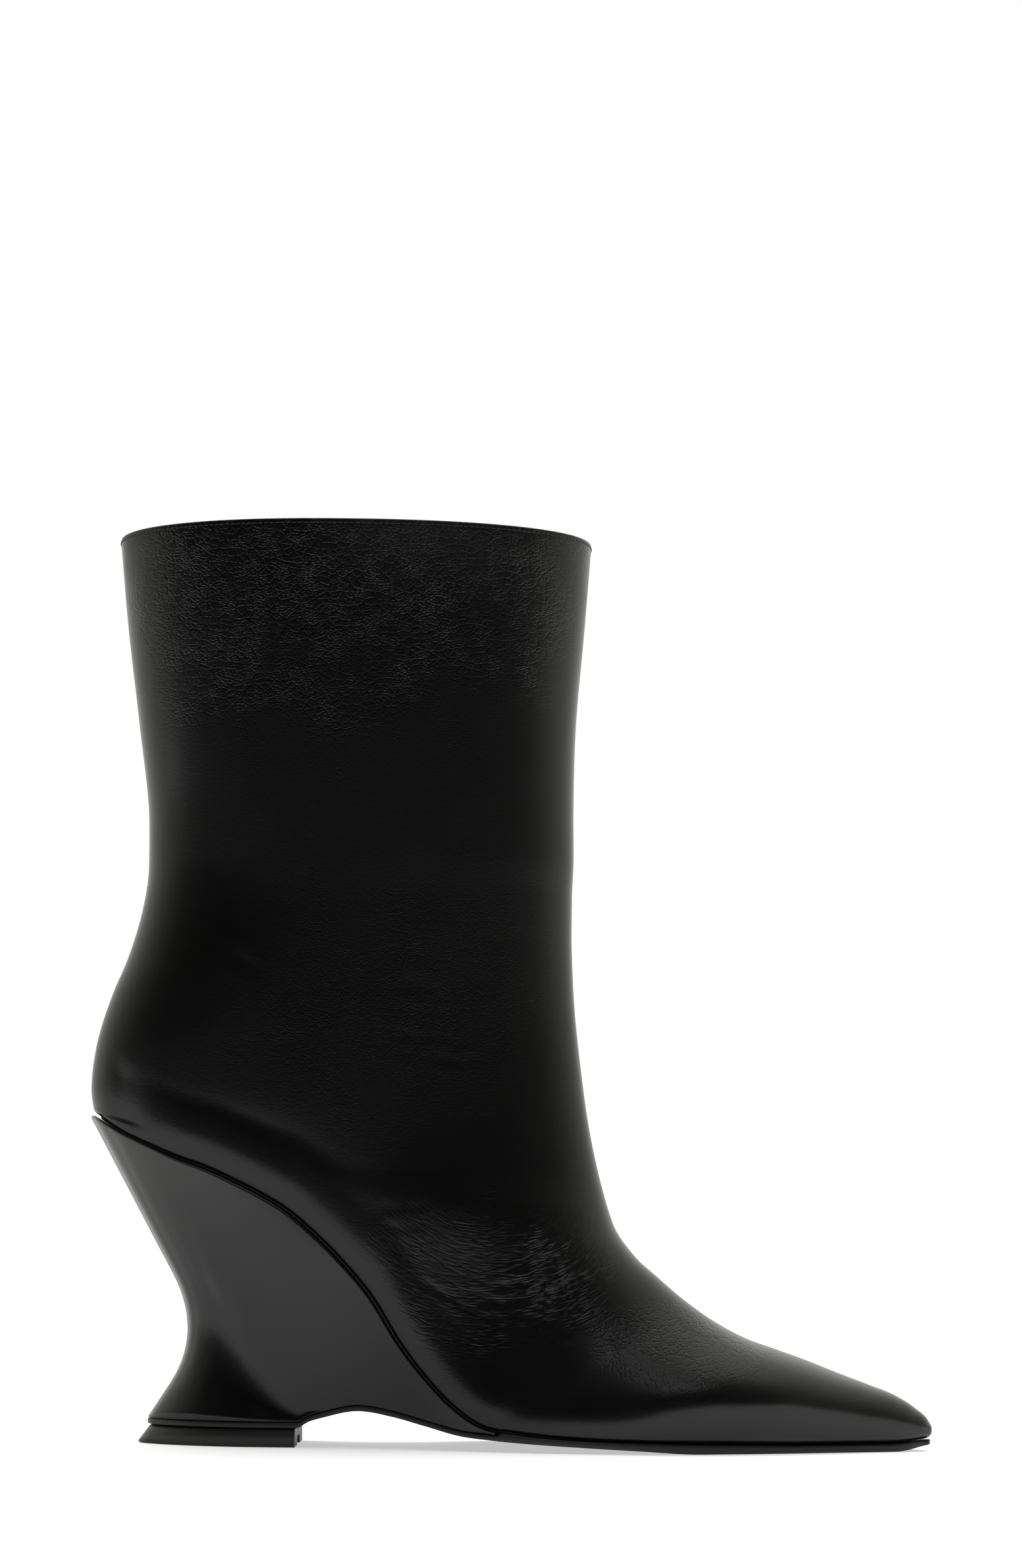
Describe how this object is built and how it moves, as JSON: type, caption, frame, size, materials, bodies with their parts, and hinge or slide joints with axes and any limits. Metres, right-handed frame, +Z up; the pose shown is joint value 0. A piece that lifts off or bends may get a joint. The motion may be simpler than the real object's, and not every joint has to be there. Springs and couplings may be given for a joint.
{
  "type": "wedge ankle boot",
  "caption": "Pull-on ankle boot in smooth leather with a pointed toe, a tall narrow shaft and a high covered wedge, hollowed at its back and flared at the floor.",
  "frame": {"origin": "on the floor, under the middle of the boot's outline", "axes": "+X towards the toe, +Y towards the inner side of the foot, +Z up along the shaft"},
  "size_m": [0.242, 0.0826, 0.259],
  "materials": {
    "upper_leather": "satin",
    "sock_lining": "matte",
    "wedge_cover": "semi-gloss",
    "outsole_edge": "satin",
    "heel_tip": "matte"
  },
  "bodies": {
    "root": {"upper": "upper_leather", "insole": "sock_lining", "wedge": "wedge_cover", "outsole": "outsole_edge", "top_lift": "heel_tip"}
  },
  "joints": []
}
